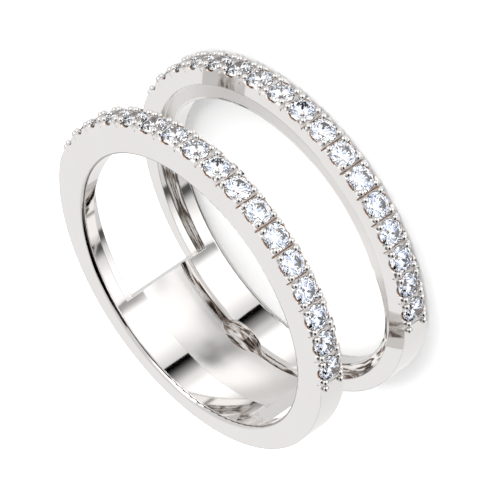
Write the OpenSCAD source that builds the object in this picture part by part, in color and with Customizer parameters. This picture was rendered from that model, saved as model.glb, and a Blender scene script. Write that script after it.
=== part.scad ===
// A ring guard: two like diamond bands on one finger axis, joined by a curved plate at the base.
// Another ring slips into the slot between the bands.
// The ring lies on its side. Z runs along the finger axis, and Y points to the middle stones.
// The origin is the middle of the finger hole. The modules measure Z from the lower side face.

/* [Finger and shank] */
// Inside diameter, a US size 6 1/2
finger_d = 16.9; // [15.5:0.1:20]
// Thickness of a band where it carries stones
pave_t = 1.98; // [1.8:0.01:2.4]
// Thickness of a band at the middle of its base
base_t = 1.05; // [0.95:0.01:1.3]
// How far the centre of the base's outer curve is moved toward the stones
base_shift = 0.88; // [0.7:0.01:1.1]
// Radius of the curve that eases the thick stretch into the base
blend_r = 5; // [3:0.1:7]
// Rounding of the finger hole's two outer edges
comfort_r = 0.27; // [0.15:0.01:0.32]

/* [Bands] */
// Width of each band along the finger
band_w = 1.65; // [1.6:0.01:1.9]
// Width of the slot between the bands
slot_w = 4.5; // [4.4:0.1:6]

/* [Recess of the facing sides] */
// Radius of the recess in each facing side
recess_r = 9.2; // [9.1:0.01:9.25]
// How far the recess is moved toward the stones
recess_shift = 0.26; // [0.2:0.01:0.3]
// Depth of the recess along the shank
recess_deep = 0.72; // [0.5:0.01:0.8]
// Depth of the recess behind the stones
recess_shallow = 0.12; // [0.08:0.01:0.2]
// Height, toward the stones, at which the shallow part ends
recess_top_y = 4.5; // [3:0.1:6]
// Height at which the full depth is reached
recess_low_y = -1; // [-3:0.1:2]

/* [Bridge at the base] */
// Half of the angle that the plate spans round the base
bridge_half = 36; // [30:1:45]
// How far the plate's inner face is set back from the finger hole at its edges
bridge_inset = 0.06; // [0.04:0.01:0.1]
// How much deeper the plate's inner face is dished at the middle of its width
dish_depth = 0.14; // [0.08:0.01:0.18]
// How far the plate's outer face is set back from the shank's
bridge_drop = 0.2; // [0.18:0.01:0.3]
// Width of the raised lip beside each band
lip_w = 0.48; // [0.3:0.01:0.8]
// Width of the groove beside the rear lip
groove_w = 0.7; // [0.4:0.01:0.9]
// Depth of the groove
groove_depth = 0.5; // [0.3:0.01:0.6]
// Half of the angle that the almond-shaped pocket in the groove spans
pocket_half = 11; // [8:1:14]
// Half of the pocket's width
pocket_half_w = 0.65; // [0.5:0.01:0.75]
// Depth of the pocket's flat floor
pocket_depth = 0.6; // [0.56:0.01:0.65]
// How far the pocket's middle lies in front of the groove's
pocket_offset = 0.06; // [0.04:0.01:0.1]

/* [Stones] */
// Stones in each band, an odd number
stones = 17; // [13:2:17]
// Angle from one stone to the next
pitch = 9.07; // [9:0.01:9.3]
// Diameter of a stone
stone_d = 1.48; // [1.3:0.01:1.5]
// Width of a stone's table as a share of its diameter
table_share = 0.57; // [0.53:0.01:0.62]
// Height of the crown over the girdle
crown_h = 0.22; // [0.18:0.01:0.25]
// Depth of the pavilion under the girdle
pavilion_h = 0.63; // [0.6:0.01:0.66]
// Thickness of the girdle
girdle_t = 0.05; // [0.03:0.01:0.06]
// How far the middle of the girdle lies under the band's outer face
girdle_sink = 0.12; // [0.08:0.01:0.2]

/* [Setting] */
// Gap between a stone and the metal
stone_gap = 0.03; // [0.02:0.01:0.04]
// Radius of a bead
bead_r = 0.187; // [0.16:0.001:0.2]
// Height of a bead's centre over the middle of the girdle
bead_rise = 0.18; // [0.14:0.01:0.22]
// Distance of the beads from the middle of the band's width
bead_across = 0.54; // [0.5:0.01:0.58]
// Distance of each bead from the line between two stones
bead_apart = 0.226; // [0.2:0.001:0.24]
// Radius of the scallop cut across the band at each stone
scallop_r = 0.55; // [0.45:0.01:0.6]
// Depth of the scallop
scallop_depth = 0.19; // [0.12:0.01:0.24]
// Width of the notch between two stones
notch_w = 0.2; // [0.12:0.01:0.26]
// Depth of the notch
notch_depth = 0.32; // [0.2:0.01:0.4]

/* [Hidden] */
finger_r = finger_d / 2;
pave_r = finger_r + pave_t;
total_w = 2 * band_w + slot_w;
// The base's outer curve
base_r = finger_r + base_t + base_shift;
// Centre of the blend arc, which touches the stones' arc and the base's arc from inside
blend_y = (pow(pave_r - blend_r, 2) - pow(base_r - blend_r, 2) + pow(base_shift, 2)) / (2 * base_shift);
blend_x = sqrt(pow(pave_r - blend_r, 2) - blend_y * blend_y);
// Steps in which the stones' arc passes into the base's arc
blend_steps = 4;
// The pocket's two arcs
pocket_half_len = finger_r * sin(pocket_half);
pocket_arc_r = (pow(pocket_half_len, 2) + pow(pocket_half_w, 2)) / (2 * pocket_half_w);
// The arc across the plate's dished inner face, between the groove and the front lip
dish_half_w = (total_w - 2 * (band_w + lip_w) - groove_w) / 2;
dish_arc_r = (pow(dish_half_w, 2) + pow(dish_depth, 2)) / (2 * dish_depth);
// Places round the band: the stones, and the lines between them with one past each end
stone_angles = [for (i = [0 : stones - 1]) (i - (stones - 1) / 2) * pitch];
line_angles = [for (i = [0 : stones]) (i - stones / 2) * pitch];
stone_r = stone_d / 2;
girdle_at = pave_r - girdle_sink;
bead_at = girdle_at + bead_rise;
bead_swing = asin(bead_apart / bead_at);
// How far a cut runs past the face that it opens
over = 1;
// How deep the plate is rooted in each band
root = 0.4;

function two_digits(i) = str(i < 10 ? "0" : "", i);
function stone_name(row, i) = str("stone_", row, "_", two_digits(i));

// Puts a child on the radius at an angle from Y, its own Z pointing outward
module on_radius(angle, r, z) {
    translate([0, 0, z]) rotate([0, 0, -angle]) translate([0, r, 0]) rotate([-90, 0, 0]) children();
}

// Moves a child from the modules' own height to the ring's origin
module centred() {
    translate([0, 0, -total_w / 2]) children();
}

// Repeats a child made for the rear band on the front band, as its mirror image
module both_bands() {
    children();
    translate([0, 0, total_w]) mirror([0, 0, 1]) children();
}

// Outline of the shank seen along the finger: thick behind the stones, thin at the base.
// The circles between the stones' and the base's all touch the blend arc from outside.
module shank_outline() {
    intersection_for(k = [0 : blend_steps]) {
        shift = base_shift * k / blend_steps;
        translate([0, shift]) circle(r = norm([blend_x, blend_y - shift]) + blend_r, $fn = 180);
    }
}

// The recess in a facing side, whose floor slopes from shallow behind the stones to deep below
module recess_cut() {
    intersection() {
        translate([0, recess_shift, -over]) cylinder(r = recess_r, h = band_w + 2 * over, $fn = 180);
        rotate([90, 0, 90]) translate([0, 0, -2 * finger_r]) linear_extrude(4 * finger_r) polygon([
            [2 * finger_r, band_w - recess_shallow],
            [recess_top_y, band_w - recess_shallow],
            [recess_low_y, band_w - recess_deep],
            [-2 * finger_r, band_w - recess_deep],
            [-2 * finger_r, band_w + over / 2],
            [2 * finger_r, band_w + over / 2]
        ]);
    }
}

// One band before the finger hole and the seats are cut, its outer side face at Z zero
module band_blank() {
    difference() {
        linear_extrude(band_w) shank_outline();
        recess_cut();
    }
}

// A sector about the base, between two heights
module base_sector(half_angle, z0, z1) {
    reach = 2 * finger_r;
    translate([0, 0, z0]) linear_extrude(z1 - z0) polygon([
        [0, 0],
        [-reach * sin(half_angle), -reach * cos(half_angle)],
        [0, -reach],
        [reach * sin(half_angle), -reach * cos(half_angle)]
    ]);
}

// The dished inner face of the plate, which leaves a raised lip beside each band
module dish_cut() {
    lip_top = band_w + lip_w;
    rotate_extrude($fn = 180) intersection() {
        translate([finger_r + bridge_inset + dish_depth - dish_arc_r, total_w - lip_top - dish_half_w])
            circle(r = dish_arc_r, $fn = 180);
        translate([finger_r - over, lip_top]) square([2 * over, total_w - 2 * lip_top]);
    }
}

// The plate that joins the bands at the base
module bridge_plate() {
    intersection() {
        difference() {
            translate([0, base_shift, root])
                cylinder(r = base_r - bridge_drop, h = total_w - 2 * root, $fn = 180);
            dish_cut();
        }
        base_sector(bridge_half, root, total_w - root);
    }
}

// The groove beside the rear lip, a V in section
module groove_cut() {
    near = band_w + lip_w;
    far = near + groove_w;
    intersection() {
        rotate_extrude($fn = 180) polygon([
            [finger_r - over, near],
            [finger_r, near],
            [finger_r + groove_depth, (near + far) / 2],
            [finger_r, far],
            [finger_r - over, far]
        ]);
        base_sector(bridge_half + 2, 0, total_w);
    }
}

// One of the pocket's two round sides, a pin that points out through the base
module pocket_side(side) {
    middle = band_w + lip_w + groove_w / 2 + pocket_offset;
    translate([0, 0, middle + side * (pocket_arc_r - pocket_half_w)])
        rotate([90, 0, 0]) cylinder(r = pocket_arc_r, h = finger_r + pocket_depth, $fn = 96);
}

// The almond-shaped pocket at the middle of the groove
module pocket_cut() {
    intersection() {
        pocket_side(1);
        pocket_side(-1);
    }
}

// Rounds the outer edge of the finger hole
module comfort_cut() {
    rotate_extrude($fn = 180) difference() {
        translate([finger_r - over, -over]) square([over + comfort_r, over + comfort_r]);
        translate([finger_r + comfort_r, comfort_r]) circle(r = comfort_r, $fn = 48);
    }
}

// The seat of one stone, open above the girdle
module seat_cut() {
    rotate_extrude($fn = 48) polygon([
        [0, -girdle_t / 2 - pavilion_h - stone_gap],
        [stone_r + stone_gap, -girdle_t / 2 - stone_gap / 2],
        [stone_r + stone_gap, over],
        [0, over]
    ]);
}

// The room that one stone takes out of the beads, with its sloping crown
module stone_room() {
    rotate_extrude($fn = 48) polygon([
        [0, -girdle_t / 2 - pavilion_h - stone_gap],
        [stone_r + stone_gap, -girdle_t / 2 - stone_gap / 2],
        [stone_r + stone_gap, girdle_t / 2 + stone_gap / 2],
        [stone_r * table_share, girdle_t / 2 + crown_h + stone_gap],
        [0, girdle_t / 2 + crown_h + stone_gap]
    ]);
}

// The scallop across both bands at one stone
module scallop_cut(angle) {
    on_radius(angle, pave_r + scallop_r - scallop_depth, 0)
        translate([0, over, 0]) rotate([90, 0, 0]) cylinder(r = scallop_r, h = total_w + 2 * over, $fn = 48);
}

// The notch across both bands between two stones
module notch_cut(angle) {
    // The notch goes on at the same slope as far above the face as it is deep
    on_radius(angle, pave_r, 0) translate([0, over, 0]) rotate([90, 0, 0])
        linear_extrude(total_w + 2 * over) polygon([
            [0, -notch_depth],
            [notch_w, notch_depth],
            [-notch_w, notch_depth]
        ]);
}

// The four beads about one line between stones, cut clear of the stones on either side
module bead_group(angle) {
    difference() {
        for (swing = [-bead_swing, bead_swing], across = [-bead_across, bead_across]) {
            on_radius(angle + swing, bead_at, band_w / 2 + across) sphere(r = bead_r, $fn = 40);
        }
        for (side = [-1, 1]) {
            on_radius(angle + side * pitch / 2, girdle_at, band_w / 2) stone_room();
        }
    }
}

// Both bands with the plate, the finger hole and every cut of the setting
module shank() {
    difference() {
        union() {
            both_bands() band_blank();
            bridge_plate();
        }
        translate([0, 0, -over]) cylinder(r = finger_r, h = total_w + 2 * over, $fn = 180);
        groove_cut();
        pocket_cut();
        both_bands() comfort_cut();
        for (angle = stone_angles) {
            scallop_cut(angle);
            both_bands() on_radius(angle, girdle_at, band_w / 2) seat_cut();
        }
        for (angle = line_angles) notch_cut(angle);
    }
}

// The metal, one soldered piece
module band_frame() {
    color("gainsboro") centred() {
        shank();
        both_bands() for (angle = line_angles) bead_group(angle);
    }
}

// Corner of a stone on a circle, at a number of sixteenths of a turn
function corner(r, sixteenth, z) = [r * cos(22.5 * sixteenth), r * sin(22.5 * sixteenth), z];

// A round brilliant: table, 8 stars, 8 kites, 16 upper halves, girdle, 16 lower halves, 8 mains
module brilliant() {
    table_z = girdle_t / 2 + crown_h;
    table_r = stone_r * table_share;
    culet_z = -girdle_t / 2 - pavilion_h;
    crown_slope = crown_h / (stone_r - table_r);
    pavilion_slope = pavilion_h / stone_r;
    // The stars reach half way from the table's edge to the girdle
    star_r = (table_r * cos(22.5) + stone_r) / 2;
    star_z = table_z - (star_r * cos(22.5) - table_r) * crown_slope;
    // The lower halves reach three quarters of the way to the culet
    half_r = stone_r / 4;
    half_z = culet_z + half_r * cos(22.5) * pavilion_slope;
    points = concat(
        [for (k = [0 : 7]) corner(table_r, 2 * k, table_z)],
        [for (k = [0 : 7]) corner(star_r, 2 * k + 1, star_z)],
        [for (j = [0 : 15]) corner(stone_r, j, girdle_t / 2)],
        [for (j = [0 : 15]) corner(stone_r, j, -girdle_t / 2)],
        [for (k = [0 : 7]) corner(half_r, 2 * k + 1, half_z)],
        [[0, 0, culet_z]]
    );
    // Where each ring of points starts in the list
    star = 8;
    top = 16;
    low = 32;
    half = 48;
    culet = 56;
    faces = concat(
        [[for (k = [7 : -1 : 0]) k]],
        [for (k = [0 : 7]) [k, (k + 1) % 8, star + k]],
        [for (k = [0 : 7]) [k, star + k, top + 2 * k, star + (k + 7) % 8]],
        [for (k = [0 : 7]) [star + k, top + 2 * k + 1, top + 2 * k]],
        [for (k = [0 : 7]) [star + k, top + (2 * k + 2) % 16, top + 2 * k + 1]],
        [for (j = [0 : 15]) [top + j, top + (j + 1) % 16, low + (j + 1) % 16, low + j]],
        [for (k = [0 : 7]) [half + k, low + 2 * k, low + 2 * k + 1]],
        [for (k = [0 : 7]) [half + k, low + 2 * k + 1, low + (2 * k + 2) % 16]],
        [for (k = [0 : 7]) [culet, half + (k + 7) % 8, low + 2 * k, half + k]]
    );
    polyhedron(points, faces);
}

// One stone in its seat; the front band is the upper one
module stone(row, i) {
    z = row == "rear" ? band_w / 2 : total_w - band_w / 2;
    color("aliceblue") centred() on_radius(stone_angles[i - 1], girdle_at, z) brilliant();
}

band_frame();
for (row = ["front", "rear"], i = [1 : stones]) {
    stone(row, i);
}
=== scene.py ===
"""A white gold ring guard set with diamonds: its finishes and its white studio, laid out as an add-on.

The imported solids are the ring's shape, and the ring lies on its side. This file gives the metal and
the stones their finish, and puts a bright studio round them, with a few dark cards for the metal to
mirror.
"""

import math
from collections import namedtuple

import bpy
from bpy.props import FloatProperty, FloatVectorProperty, PointerProperty
from mathutils import Matrix, Vector


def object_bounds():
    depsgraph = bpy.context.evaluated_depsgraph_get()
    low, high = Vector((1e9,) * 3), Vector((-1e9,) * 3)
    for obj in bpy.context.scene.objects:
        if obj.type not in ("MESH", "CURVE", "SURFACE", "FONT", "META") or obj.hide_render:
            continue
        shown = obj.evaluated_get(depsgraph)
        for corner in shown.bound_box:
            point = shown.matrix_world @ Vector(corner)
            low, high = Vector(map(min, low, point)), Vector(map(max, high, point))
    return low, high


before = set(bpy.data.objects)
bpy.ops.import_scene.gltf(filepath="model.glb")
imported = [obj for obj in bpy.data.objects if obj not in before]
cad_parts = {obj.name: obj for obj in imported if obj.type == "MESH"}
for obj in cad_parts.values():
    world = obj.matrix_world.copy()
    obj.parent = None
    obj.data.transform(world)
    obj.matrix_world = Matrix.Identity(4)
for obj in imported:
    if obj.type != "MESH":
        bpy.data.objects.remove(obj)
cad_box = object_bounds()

bl_info = {
    "name": "Ring guard",
    "version": (1, 0, 0),
    "blender": (4, 5, 0),
    "location": "3D View > Sidebar > Ring guard",
    "description": "Finishes and lights a diamond ring guard around its CAD solids",
    "category": "Object",
}

MM = 0.001
METAL_NODE = "band_frame"
STONE_PREFIX = "stone_"
FLOOR_WIDTH = 4000 * MM

# The ring's own sizes that its finish follows. Millimetres: the finger hole's radius, the bands' facing
# sides and middles from the ring's middle, a stone's radius, and the radius of a recess's outer wall,
# whose axis lies a little nearer to the stones than the finger's
BORE_R = 8.45
FACING_Z = 2.25
BAND_Z = 3.075
STONE_R = 0.74
RECESS_R = 9.2
RECESS_SHIFT = 0.26
# Degrees round the finger: from one stone to the next, half the plate, and half of a row of stones
STONE_PITCH = 9.07
PLATE_HALF = 36
ROW_HALF = 82

# One limit of a soft mask: the measure that it goes by, where the mask is 0, and where it is 1
Limit = namedtuple("Limit", "measure outside inside")

# What holds a zone to the recesses: short of the bands' outer halves, and between the two walls
RECESS_LIMITS = (
    Limit("height", 3.2, 3.1),
    Limit("r", BORE_R + 0.06, BORE_R + 0.14),
    Limit("recess_r", RECESS_R - 0.03, RECESS_R - 0.1),
)
# What holds a zone to the settings: between a band's sides, below the bead tops, within the row
SETTING_LIMITS = (
    Limit("from_row", 0.81, 0.79),
    Limit("r", 10.4, 10.34),
    Limit("from_top", ROW_HALF, ROW_HALF - 1),
)

# The zones of the metal whose finish differs from the plain polish, in millimetres and degrees by the
# names of ring_measures
ZONES = {
    "recess_floor": (Limit("height", FACING_Z + 0.04, FACING_Z + 0.1), *RECESS_LIMITS),
    # The hollows, with painted reflections and shade: the deep part of the recesses, and the plate's
    # groove and pocket
    "deep_recess": (Limit("height", FACING_Z + 0.4, FACING_Z + 0.66), *RECESS_LIMITS),
    "groove_and_pocket": (
        Limit("height", FACING_Z, FACING_Z - 0.05),
        Limit("r", BORE_R + 0.2, BORE_R + 0.24),
        Limit("r", 9.2, 9.12),
        Limit("from_base", PLATE_HALF, PLATE_HALF - 0.4),
    ),
    "dish": (
        Limit("z", -1.1, -1.0),
        Limit("z", 1.775, 1.765),
        Limit("r", BORE_R + 0.03, BORE_R + 0.05),
        Limit("r", BORE_R + 0.25, BORE_R + 0.22),
    ),
    # A thin painted dark reflection line near the inner end of the finger hole's rounded edge
    "bore_edge_painted_reflection": (
        Limit("height", 3.62, 3.66),
        Limit("r", BORE_R + 0.002, BORE_R + 0.012),
        Limit("r", BORE_R + 0.035, BORE_R + 0.02),
    ),
    # The seats round the stones: brown as unpolished metal, with painted shade and warm reflection
    "seats": (
        Limit("from_stone", STONE_R + 0.1, STONE_R + 0.05),
        Limit("from_notch", 0.9, 1.4),
        Limit("r", 9.5, 9.6),
        *SETTING_LIMITS,
    ),
    "notches": (
        Limit("from_notch", 0.64, 0.54),
        Limit("r", 10.08, 10.12),
        *SETTING_LIMITS,
    ),
    # Painted shade: a golden line in the crease at the foot of each notch
    "notch_foot_painted_shade": (Limit("from_notch", 0.24, 0.12),),
    # The beads
    "setting": (
        Limit("r", 10.0, 10.1),
        Limit("from_top", ROW_HALF, ROW_HALF - 2),
    ),
}

# How much of its mirror the metal loses where no buff reaches, how much the polish varies, and how
# many times longer a polishing line is than wide
UNBUFFED_LOSS = 0.8
POLISH_SPREAD = 0.4
HAIRLINE_STRETCH = 5

# One stop of a colour band
Stop = namedtuple("Stop", "place colour")

# Painted reflections and shade in the hollows: streaks about 1.2 mm long and 0.2 mm wide
STREAKS_PER_RADIAN = 7
STREAKS_PER_MM = 5
HOLLOW_REFLECTION_COLOURS = (
    Stop(0.38, "#241E1B"),
    Stop(0.44, "#6E5F56"),
    Stop(0.49, "#A3968C"),
    Stop(0.53, "#E6E1DD"),
    Stop(0.6, "#FBFAF9"),
)

# What the stones see of the room
GLINTS_PER_RADIAN = 2.6
GLINT_COLOURS = (
    Stop(0.0, "#050505"),
    Stop(0.06, "#3C4660"),
    Stop(0.1, "#B8C6E3"),
    Stop(0.19, "#E4C6A8"),
    Stop(0.25, "#8E9299"),
    Stop(0.33, "#FFFFFF"),
)

# A panel of the studio as the ring sees it: where its middle is, how wide and high it is, how softly
# it ends on each side in turn and above and below, all in degrees, and how bright it is
Panel = namedtuple(
    "Panel", "name azimuth elevation width height soft_before soft_after soft_height brightness")

# Light panels and black flags, in the order in which they are hung
PANELS = (
    Panel("overhead_light", 164, -44, 16, 36, 8, 24, 16, 1.35),
    Panel("left_light", 224, -44, 24, 36, 14, 22, 16, 1.35),
    Panel("right_light", 123, -44, 13, 36, 26, 8, 16, 1.3),
    Panel("low_light", 150, -54, 40, 30, 12, 16, 9, 1.4),
    Panel("front_light", 334, 28, 50, 40, 30, 30, 20, 0.97),
    Panel("wall_light", 20, -28, 66, 30, 20, 20, 16, 0.93),
    Panel("bead_light", 212, 30, 44, 34, 12, 12, 12, 1.9),
    Panel("black_flag", 193.6, -27.5, 2.8, 3, 0.6, 15, 1.5, 0.0),
    Panel("dish_light", 140, -7, 44, 24, 10, 12, 7, 1.5),
    Panel("gap_light", 150, -27.5, 14, 20, 7, 6, 10, 1.35),
    Panel("low_dish_flag", 208, -36.5, 6, 12, 7, 9, 5, 0.05),
    Panel("high_dish_flag", 205, -18, 6, 10, 7, 9, 5, 0.25),
    Panel("thin_flag", 135.5, -28, 1, 6, 1, 8, 6, 0.42),
    Panel("side_flag", 86, -28, 3, 20, 4, 10, 6, 0.1),
    Panel("rim_flag", 40, -62, 70, 20, 10, 10, 8, 0.12),
    Panel("edge_flag", 350, -3, 100, 14, 10, 10, 4, 0.15),
    Panel("front_flag", 84, 40, 76, 54, 4, 4, 4, 0.0),
    Panel("front_flag_tip", 131, 38, 34, 36, 3, 3, 3, 0.0),
)


def linear(hex_colour):
    """A sRGB hex colour as linear RGB."""
    channels = [int(hex_colour[i:i + 2], 16) / 255 for i in (1, 3, 5)]
    return tuple(c / 12.92 if c <= 0.04045 else ((c + 0.055) / 1.055) ** 2.4 for c in channels)


def rgba(colour):
    """A linear RGB colour with full alpha, as the shader sockets take it."""
    return (*colour, 1)


class MetalSettings(bpy.types.PropertyGroup):
    """The finish of the metal."""

    colour: FloatVectorProperty(
        name="Colour", description="Colour of the polished white gold",
        subtype="COLOR", default=linear("#ECEAE9"), min=0, max=1,
    )
    warm_colour: FloatVectorProperty(
        name="Warm colour", description="Colour where the plating is a little thinner",
        subtype="COLOR", default=linear("#E7E4E1"), min=0, max=1,
    )
    # Brown of unpolished metal, with painted shade and warm reflection in the seats
    seat_brown_and_shade_colour: FloatVectorProperty(
        name="Seat colour", description="Colour of the unpolished metal round the stones",
        subtype="COLOR", default=linear("#AE8260"), min=0, max=1,
    )
    notch_colour: FloatVectorProperty(
        name="Notch colour", description="Colour of the walls of the notches between stones",
        subtype="COLOR", default=linear("#FFFFFF"), min=0, max=1,
    )
    # Painted shade in the crease at a notch's foot
    notch_foot_shade_colour: FloatVectorProperty(
        name="Notch foot colour", description="Colour of the line at the foot of a notch",
        subtype="COLOR", default=linear("#C9A37E"), min=0, max=1,
    )
    # Painted dark reflection on the finger hole's rounded edge
    bore_edge_reflection_colour: FloatVectorProperty(
        name="Bore line colour", description="Colour of the line at the finger hole's edge",
        subtype="COLOR", default=linear("#46372F"), min=0, max=1,
    )
    roughness: FloatProperty(
        name="Roughness", description="Roughness of the polish", default=0.045, min=0, max=1,
    )
    dish_roughness: FloatProperty(
        name="Dish roughness", description="How much rougher the dished face of the plate is",
        default=0.2, min=0, max=1,
    )
    recess_roughness: FloatProperty(
        name="Recess roughness", description="How much rougher the recess floors are",
        default=0.3, min=0, max=1,
    )
    edge: FloatProperty(
        name="Edge", description="Radius that polishing gives to the plain bands' edges",
        unit="LENGTH", default=0.07 * MM, min=0,
    )
    fine_edge: FloatProperty(
        name="Fine edge", description="Radius that polishing gives to the edges about the stones",
        unit="LENGTH", default=0.03 * MM, min=0,
    )
    hairline: FloatProperty(
        name="Hairline", description="Distance between the finest polishing lines",
        unit="LENGTH", default=0.06 * MM, min=0.001 * MM,
    )
    patch: FloatProperty(
        name="Patch", description="Distance over which the plating differs a little",
        unit="LENGTH", default=3 * MM, min=0.001 * MM,
    )


class DiamondSettings(bpy.types.PropertyGroup):
    """The look of the cut stones."""

    colour: FloatVectorProperty(
        name="Colour", description="Body colour of the diamonds",
        subtype="COLOR", default=linear("#FAFCFF"), min=0, max=1,
    )
    blue_colour: FloatVectorProperty(
        name="Blue colour", description="Body colour of the bluest diamonds",
        subtype="COLOR", default=linear("#F4F8FF"), min=0, max=1,
    )
    ior: FloatProperty(
        name="Refraction", description="Index of refraction", default=2.42, min=1, max=3,
    )


class StudioSettings(bpy.types.PropertyGroup):
    """The camera, the floor and the light."""

    azimuth: FloatProperty(
        name="Azimuth", description="Direction of the camera round the ring",
        subtype="ANGLE", default=math.radians(154),
    )
    elevation: FloatProperty(
        name="Elevation", description="Height of the camera over the floor",
        subtype="ANGLE", default=math.radians(28.2),
    )
    roll: FloatProperty(
        name="Roll", description="How far the camera is turned about its own axis",
        subtype="ANGLE", default=math.radians(-124.2),
    )
    distance: FloatProperty(
        name="Distance", description="From the camera to the ring", unit="LENGTH", default=300 * MM,
    )
    picture_width: FloatProperty(
        name="Picture width", description="Width of the picture at the ring",
        unit="LENGTH", default=27.03 * MM,
    )
    aim_right: FloatProperty(
        name="Aim to the right", description="From the ring's origin to the middle of the picture",
        unit="LENGTH", default=0.551 * MM,
    )
    aim_up: FloatProperty(
        name="Aim up", description="From the ring's origin to the middle of the picture",
        unit="LENGTH", default=0.351 * MM,
    )
    floor_colour: FloatVectorProperty(
        name="Floor", description="Colour of the floor",
        subtype="COLOR", default=linear("#FBFBFB"), min=0, max=1,
    )
    air: FloatProperty(
        name="Air", description="Brightness of the white walls and ceiling", default=0.76, min=0,
    )
    paper_light: FloatProperty(
        name="Paper light", description="Brightness of the room as the paper has it",
        default=1.25, min=0,
    )
    stone_light: FloatProperty(
        name="Stone light", description="Brightness of the room as the stones gather it",
        default=1.7, min=0,
    )
    key: FloatProperty(
        name="Key", description="Strength of the light that gives the shadow", default=0.7, min=0,
    )
    key_azimuth: FloatProperty(
        name="Key azimuth", description="Direction of that light round the ring",
        subtype="ANGLE", default=math.radians(225),
    )
    key_elevation: FloatProperty(
        name="Key elevation", description="Height of that light over the floor",
        subtype="ANGLE", default=math.radians(72),
    )
    key_width: FloatProperty(
        name="Key width", description="How wide that light looks, which softens the shadow",
        subtype="ANGLE", default=math.radians(30), min=0,
    )


def add_node(tree, kind, inputs=None, **settings):
    """Adds a node with its settings; an input is a value or the socket that feeds it."""
    made = tree.nodes.new(kind)
    for name, value in settings.items():
        setattr(made, name, value)
    for name, value in (inputs or {}).items():
        if isinstance(value, bpy.types.NodeSocket):
            tree.links.new(value, made.inputs[name])
        else:
            made.inputs[name].default_value = value
    return made


def work_out(tree, at, sums):
    """Gives the values at hand together with the ones that a table of sums makes of them.

    A sum has a name, an operation, and terms: numbers, or the names of values at hand by then.
    """
    at = dict(at)
    for name, operation, *terms in sums:
        at[name] = add_node(tree, "ShaderNodeMath", {
            slot: at.get(term, term) for slot, term in enumerate(terms)
        }, operation=operation).outputs[0]
    return at


def soft_mask(tree, at, limits):
    """A mask that is 1 inside all its limits and 0 outside any, with a soft step at each."""
    mask = 1
    for limit in limits:
        step = add_node(tree, "ShaderNodeMapRange", {
            "Value": at[limit.measure], "From Min": limit.outside, "From Max": limit.inside,
        }, interpolation_type="SMOOTHSTEP")
        mask = add_node(tree, "ShaderNodeMath", {
            0: step.outputs["Result"], 1: mask,
        }, operation="MULTIPLY").outputs[0]
    return mask


def fill_band(band, stops):
    """Gives a colour band its stops."""
    while len(band.elements) < len(stops):
        band.elements.new(1)
    for element, stop in zip(band.elements, stops):
        element.position = stop.place
        element.color = rgba(linear(stop.colour))


def empty_material(name):
    """A new material with nothing in its node tree but the output."""
    material = bpy.data.materials.new(name)
    material.use_nodes = True
    material.node_tree.nodes.clear()
    output = add_node(material.node_tree, "ShaderNodeOutputMaterial")
    return material, output


def ring_measures(tree, place):
    """Where a point of the ring lies, in millimetres and degrees; the two turns are in radians."""
    part = add_node(tree, "ShaderNodeSeparateXYZ", {
        0: add_node(tree, "ShaderNodeVectorMath", {
            0: place, "Scale": 1 / MM,
        }, operation="SCALE").outputs["Vector"],
    }).outputs
    return work_out(tree, {"x": part["X"], "y": part["Y"], "z": part["Z"]}, (
        ("height", "ABSOLUTE", "z"),
        ("x_squared", "MULTIPLY", "x", "x"),
        ("r_squared", "MULTIPLY_ADD", "y", "y", "x_squared"),
        ("r", "SQRT", "r_squared"),
        ("recess_y", "SUBTRACT", "y", RECESS_SHIFT),
        ("recess_r_squared", "MULTIPLY_ADD", "recess_y", "recess_y", "x_squared"),
        ("recess_r", "SQRT", "recess_r_squared"),
        ("turn", "ARCTAN2", "x", "y"),
        ("heading", "DEGREES", "turn"),
        ("from_top", "ABSOLUTE", "heading"),
        ("from_base", "SUBTRACT", 180, "from_top"),
        # A stone stands at each whole pitch, and a notch halfway to the next
        ("past_stone", "WRAP", "heading", STONE_PITCH / 2, -STONE_PITCH / 2),
        ("off_stone", "ABSOLUTE", "past_stone"),
        ("from_notch", "SUBTRACT", STONE_PITCH / 2, "off_stone"),
        ("stone_turn", "RADIANS", "past_stone"),
        ("along", "MULTIPLY", "stone_turn", "r"),
        ("across", "SUBTRACT", "height", BAND_Z),
        ("from_row", "ABSOLUTE", "across"),
        ("across_squared", "MULTIPLY", "across", "across"),
        ("from_stone_squared", "MULTIPLY_ADD", "along", "along", "across_squared"),
        ("from_stone", "SQRT", "from_stone_squared"),
    ))


def streaks(tree, at):
    """Painted reflection and shade: dark and light streaks that run round the finger, as a narrow
    hollow mirrors itself.
    """
    stretched = add_node(tree, "ShaderNodeMapping", {
        "Vector": add_node(tree, "ShaderNodeCombineXYZ", {
            "X": at["turn"], "Y": at["r"], "Z": at["z"],
        }).outputs["Vector"],
        "Scale": (STREAKS_PER_RADIAN, STREAKS_PER_MM, STREAKS_PER_MM),
    })
    noise = add_node(tree, "ShaderNodeTexNoise", {
        "Vector": stretched.outputs["Vector"], "Scale": 1, "Detail": 3, "Distortion": 0.6,
    })
    made = add_node(tree, "ShaderNodeValToRGB", {"Fac": noise.outputs["Fac"]})
    fill_band(made.color_ramp, HOLLOW_REFLECTION_COLOURS)
    return made.outputs["Color"]


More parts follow.
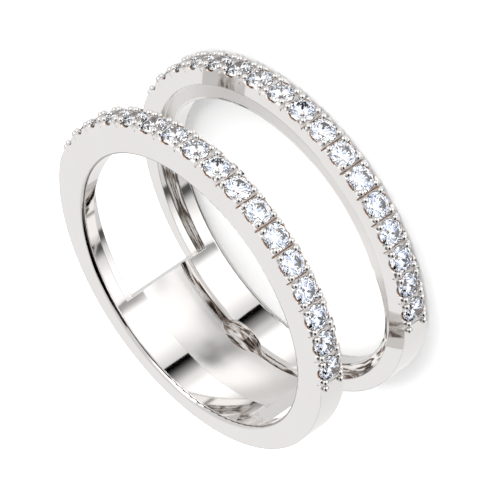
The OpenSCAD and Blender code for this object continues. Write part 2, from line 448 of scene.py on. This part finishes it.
def polished_white_gold(settings):
    """White gold under rhodium plating, buffed to a mirror: bright, a touch warm, with soft edges.

    No buff reaches the hollows, the seats and the notches, so they mirror less. The hollows carry
    painted reflections and shade in dark and light streaks, the seats are brown as unpolished metal
    with painted shade and warm reflection, the finger hole's rounded edge has a painted dark reflection
    line, and the notches are matt and white with a painted golden shade line at the foot.
    """
    material, output = empty_material("polished_white_gold")
    tree = material.node_tree
    place = add_node(tree, "ShaderNodeTexCoord").outputs["Object"]
    at = ring_measures(tree, place)
    # Polishing lines run round the finger, so they are fine along it and long round it. Real ones are
    # too fine to show, and these are as coarse as they need to be
    hairlines = add_node(tree, "ShaderNodeTexNoise", {
        "Vector": add_node(tree, "ShaderNodeMapping", {
            "Vector": place, "Scale": (1 / HAIRLINE_STRETCH, 1 / HAIRLINE_STRETCH, 1),
        }).outputs["Vector"],
        "Scale": 1 / settings.hairline, "Detail": 2,
    })
    polish = add_node(tree, "ShaderNodeMapRange", {
        "Value": hairlines.outputs["Fac"],
        "To Min": settings.roughness * (1 - POLISH_SPREAD),
        "To Max": settings.roughness * (1 + POLISH_SPREAD),
    })
    zones = {name: soft_mask(tree, at, limits) for name, limits in ZONES.items()}
    # A flat buff can't reach the dish and the recess floors, so their reflections are softer
    finish = work_out(tree, {**zones, "polish": polish.outputs["Result"]}, (
        ("hollows", "MAXIMUM", "deep_recess", "groove_and_pocket"),
        ("about_stones", "MAXIMUM", "seats", "notches"),
        ("unbuffed", "MAXIMUM", "hollows", "about_stones"),
        ("metallic", "MULTIPLY_ADD", "unbuffed", -UNBUFFED_LOSS, 1),
        ("dish_polish", "MULTIPLY_ADD", "dish", settings.dish_roughness, "polish"),
        ("roughness", "MULTIPLY_ADD", "recess_floor", settings.recess_roughness, "dish_polish"),
    ))

    patches = add_node(tree, "ShaderNodeTexNoise", {
        "Vector": place, "Scale": 1 / settings.patch, "Detail": 2,
    })
    # The notch walls are white, with painted shade in the crease at their foot
    notch = add_node(tree, "ShaderNodeMix", {
        "Factor": finish["notch_foot_painted_shade"],
        "A": rgba(settings.notch_colour), "B": rgba(settings.notch_foot_shade_colour),
    }, data_type="RGBA")
    # Each colour covers the ones before it where its mask is 1
    colour = rgba(settings.colour)
    for mask, coat in (
        (patches.outputs["Fac"], rgba(settings.warm_colour)),
        # Painted reflections and shade streak the hollows
        (finish["hollows"], streaks(tree, at)),
        # A painted dark reflection line on the finger hole's rounded edge
        (finish["bore_edge_painted_reflection"], rgba(settings.bore_edge_reflection_colour)),
        (finish["notches"], notch.outputs["Result"]),
        # The seats: brown as unpolished metal, with painted shade and warm reflection
        (finish["seats"], rgba(settings.seat_brown_and_shade_colour)),
    ):
        colour = add_node(tree, "ShaderNodeMix", {
            "Factor": mask, "A": colour, "B": coat,
        }, data_type="RGBA").outputs["Result"]

    # The beads keep a finer edge than the plain bands
    edge = add_node(tree, "ShaderNodeMapRange", {
        "Value": finish["setting"], "To Min": settings.edge, "To Max": settings.fine_edge,
    })
    edges = add_node(tree, "ShaderNodeBevel", {"Radius": edge.outputs["Result"]}, samples=4)
    bump = add_node(tree, "ShaderNodeBump", {
        "Height": hairlines.outputs["Fac"], "Strength": 0.01, "Distance": 0.01 * MM,
        "Normal": edges.outputs["Normal"],
    })
    metal = add_node(tree, "ShaderNodeBsdfPrincipled", {
        "Base Color": colour, "Metallic": finish["metallic"],
        "Roughness": finish["roughness"], "Normal": bump.outputs["Normal"],
    })
    tree.links.new(metal.outputs["BSDF"], output.inputs["Surface"])
    return material


def cut_diamond(settings):
    """Colourless diamond, cut and polished: clear, with sharp dark and bright facets."""
    material, output = empty_material("cut_diamond")
    tree = material.node_tree
    # Stones of one row differ a little in colour
    tint = add_node(tree, "ShaderNodeTexNoise", {
        "Vector": add_node(tree, "ShaderNodeTexCoord").outputs["Object"],
        "Scale": 1 / (2 * MM), "Detail": 0,
    })
    colour = add_node(tree, "ShaderNodeMix", {
        "Factor": tint.outputs["Fac"], "A": rgba(settings.colour), "B": rgba(settings.blue_colour),
    }, data_type="RGBA")
    stone = add_node(tree, "ShaderNodeBsdfPrincipled", {
        "Base Color": colour.outputs["Result"], "Roughness": 0,
        "IOR": settings.ior, "Transmission Weight": 1,
    })
    tree.links.new(stone.outputs["BSDF"], output.inputs["Surface"])
    return material


def seamless_paper(settings):
    """White background paper, matt, with fibres about 0.2 mm apart: the floor under the ring."""
    material, output = empty_material("seamless_paper")
    tree = material.node_tree
    fibres = add_node(tree, "ShaderNodeTexNoise", {
        "Vector": add_node(tree, "ShaderNodeTexCoord").outputs["Object"],
        "Scale": 1 / (0.2 * MM), "Detail": 3,
    })
    bump = add_node(tree, "ShaderNodeBump", {
        "Height": fibres.outputs["Fac"], "Strength": 0.02, "Distance": 0.02 * MM,
    })
    paper = add_node(tree, "ShaderNodeBsdfDiffuse", {
        "Color": rgba(settings.floor_colour), "Normal": bump.outputs["Normal"],
    })
    tree.links.new(paper.outputs["BSDF"], output.inputs["Surface"])
    return material


def hang_panel(tree, sky, behind, panel):
    """Puts one panel in front of what the ring sees there, and gives the new view."""
    at = work_out(tree, sky, (
        ("turn", "SUBTRACT", "azimuth", panel.azimuth),
        ("across", "WRAP", "turn", 180, -180),
        ("up", "SUBTRACT", "elevation", panel.elevation),
    ))
    half_width, half_height = panel.width / 2, panel.height / 2
    cover = soft_mask(tree, at, (
        Limit("across", -half_width - panel.soft_before, -half_width),
        Limit("across", half_width + panel.soft_after, half_width),
        Limit("up", -half_height - panel.soft_height, -half_height),
        Limit("up", half_height + panel.soft_height, half_height),
    ))
    return add_node(tree, "ShaderNodeMix", {
        "Factor": cover, "A": behind, "B": panel.brightness,
    }, data_type="FLOAT").outputs["Result"]


def glints(tree, brightness):
    """What a cut stone picks out of the room: white, with small dark, blue and tan things."""
    cells = add_node(tree, "ShaderNodeTexVoronoi", {
        "Vector": add_node(tree, "ShaderNodeTexCoord").outputs["Generated"],
        "Scale": GLINTS_PER_RADIAN,
    })
    pick = add_node(tree, "ShaderNodeSeparateColor", {"Color": cells.outputs["Color"]})
    made = add_node(tree, "ShaderNodeValToRGB", {"Fac": pick.outputs["Red"]})
    made.color_ramp.interpolation = "CONSTANT"
    fill_band(made.color_ramp, GLINT_COLOURS)
    return add_node(tree, "ShaderNodeVectorMath", {
        0: made.outputs["Color"], "Scale": brightness,
    }, operation="SCALE").outputs["Vector"]


def finish_nodes(names, material):
    """Gives CAD nodes one material."""
    for name in names:
        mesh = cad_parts[name].data
        mesh.materials.clear()
        mesh.materials.append(material)


def direction(azimuth, elevation):
    """The unit vector from the ring toward an azimuth and a height, as the camera's are given."""
    flat = math.cos(elevation)
    return Vector((math.sin(azimuth) * flat, -math.cos(azimuth) * flat, math.sin(elevation)))


def rectangle(name, place, facing, width, height):
    """A flat rectangle at a place, facing a direction, its width level."""
    mesh = bpy.data.meshes.new(name)
    corners = [(-0.5, -0.5), (0.5, -0.5), (0.5, 0.5), (-0.5, 0.5)]
    mesh.from_pydata([(x * width, y * height, 0) for x, y in corners], [], [(0, 1, 2, 3)])
    made = bpy.data.objects.new(name, mesh)
    bpy.context.scene.collection.objects.link(made)
    made.rotation_mode = "QUATERNION"
    made.rotation_quaternion = facing.to_track_quat("Z", "Y")
    made.location = place
    return made


class RINGGUARD_OT_metal(bpy.types.Operator):
    """Polishes the metal of both bands and the plate"""

    bl_idname = "ringguard.metal"
    bl_label = "Polish the metal"

    def execute(self, context):
        if METAL_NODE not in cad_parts:
            raise RuntimeError("the frame has no metal")
        finish_nodes([METAL_NODE], polished_white_gold(context.scene.ring_metal))
        return {"FINISHED"}


class RINGGUARD_OT_stones(bpy.types.Operator):
    """Makes every stone a clear cut diamond"""

    bl_idname = "ringguard.stones"
    bl_label = "Make the stones diamond"

    def execute(self, context):
        stones = [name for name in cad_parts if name.startswith(STONE_PREFIX)]
        if not stones:
            raise RuntimeError("the frame has no stones")
        finish_nodes(stones, cut_diamond(context.scene.ring_diamonds))
        return {"FINISHED"}


class RINGGUARD_OT_stage(bpy.types.Operator):
    """Lays the floor, sets the light and places the camera"""

    bl_idname = "ringguard.stage"
    bl_label = "Set the studio"

    def execute(self, context):
        studio = context.scene.ring_studio
        self.lay_floor(studio)
        self.fill_room(context, studio)
        self.set_key(context, studio)
        self.place_camera(context, studio)
        context.scene.view_settings.view_transform = "Standard"
        return {"FINISHED"}

    def lay_floor(self, studio):
        lowest = cad_box[0].z
        floor = rectangle(
            "floor", Vector((0, 0, lowest)), Vector((0, 0, 1)), FLOOR_WIDTH, FLOOR_WIDTH)
        floor.data.materials.append(seamless_paper(studio))
        # The metal mirrors the studio and not the paper that it lies on
        floor.visible_glossy = False
        floor.visible_transmission = False

    def fill_room(self, context, studio):
        world = bpy.data.worlds.new("studio_air")
        world.use_nodes = True
        world.node_tree.nodes.clear()
        tree = world.node_tree
        part = add_node(tree, "ShaderNodeSeparateXYZ", {
            0: add_node(tree, "ShaderNodeTexCoord").outputs["Generated"],
        }).outputs
        sky = work_out(tree, {"x": part["X"], "y": part["Y"], "z": part["Z"]}, (
            ("back", "MULTIPLY", "y", -1),
            ("bearing", "ARCTAN2", "x", "back"),
            ("azimuth", "DEGREES", "bearing"),
            ("rise", "ARCSINE", "z"),
            ("elevation", "DEGREES", "rise"),
        ))
        seen = studio.air
        for panel in PANELS:
            seen = hang_panel(tree, sky, seen, panel)
        colour = add_node(tree, "ShaderNodeCombineColor", {
            0: seen, 1: seen, 2: seen,
        }).outputs["Color"]
        # The metal sees the panels, the stones see the glints, and the paper has an even light. The
        # camera itself sees the plain white of the paper where the floor ends
        light = add_node(tree, "ShaderNodeLightPath").outputs
        in_stone = add_node(tree, "ShaderNodeMath", {
            0: light["Transmission Depth"], 1: 0.5,
        }, operation="GREATER_THAN")
        for ray, view in (
            (in_stone.outputs[0], glints(tree, studio.stone_light)),
            (light["Is Diffuse Ray"], rgba((studio.paper_light,) * 3)),
            (light["Is Camera Ray"], rgba((1, 1, 1))),
        ):
            colour = add_node(tree, "ShaderNodeMix", {
                "Factor": ray, "A": colour, "B": view,
            }, data_type="RGBA").outputs["Result"]
        air = add_node(tree, "ShaderNodeBackground", {"Color": colour, "Strength": 1})
        add_node(tree, "ShaderNodeOutputWorld", {"Surface": air.outputs["Background"]})
        context.scene.world = world

    def set_key(self, context, studio):
        key = bpy.data.lights.new("key_light", "SUN")
        key.energy = studio.key
        key.angle = studio.key_width
        lamp = bpy.data.objects.new("key_light", key)
        context.scene.collection.objects.link(lamp)
        toward = direction(studio.key_azimuth, studio.key_elevation)
        lamp.rotation_mode = "QUATERNION"
        lamp.rotation_quaternion = toward.to_track_quat("Z", "Y")
        lamp.visible_glossy = False

    def place_camera(self, context, studio):
        back = direction(studio.azimuth, studio.elevation)
        level_right = Vector((math.cos(studio.azimuth), math.sin(studio.azimuth), 0))
        level_up = back.cross(level_right)
        right = math.cos(studio.roll) * level_right + math.sin(studio.roll) * level_up
        up = back.cross(right)
        lens = bpy.data.cameras.new("camera")
        lens.sensor_width = 36
        lens.lens = lens.sensor_width * studio.distance / studio.picture_width
        lens.clip_start = studio.distance / 10
        lens.clip_end = studio.distance * 20
        camera = bpy.data.objects.new("camera", lens)
        context.scene.collection.objects.link(camera)
        aim = studio.aim_right * right + studio.aim_up * up
        turn = Matrix((right, up, back)).transposed().to_4x4()
        camera.matrix_world = Matrix.Translation(aim + back * studio.distance) @ turn
        context.scene.camera = camera


class RINGGUARD_PT_panel(bpy.types.Panel):
    """Lists the steps in the order in which they run"""

    bl_label = "Ring guard"
    bl_idname = "RINGGUARD_PT_panel"
    bl_space_type = "VIEW_3D"
    bl_region_type = "UI"
    bl_category = "Ring guard"

    def draw(self, context):
        for operator in OPERATORS:
            self.layout.operator(operator.bl_idname)
        for group in SETTINGS:
            settings = getattr(context.scene, group)
            for name in settings.__annotations__:
                self.layout.prop(settings, name)


OPERATORS = (RINGGUARD_OT_metal, RINGGUARD_OT_stones, RINGGUARD_OT_stage)
SETTINGS = {
    "ring_metal": MetalSettings,
    "ring_diamonds": DiamondSettings,
    "ring_studio": StudioSettings,
}
CLASSES = (*SETTINGS.values(), *OPERATORS, RINGGUARD_PT_panel)


def register():
    for one in CLASSES:
        bpy.utils.register_class(one)
    for name, group in SETTINGS.items():
        setattr(bpy.types.Scene, name, PointerProperty(type=group))


def unregister():
    for name in SETTINGS:
        delattr(bpy.types.Scene, name)
    for one in reversed(CLASSES):
        bpy.utils.unregister_class(one)


def main():
    register()
    bpy.ops.ringguard.metal()
    bpy.ops.ringguard.stones()
    bpy.ops.ringguard.stage()


if __name__ == "__main__":
    main()
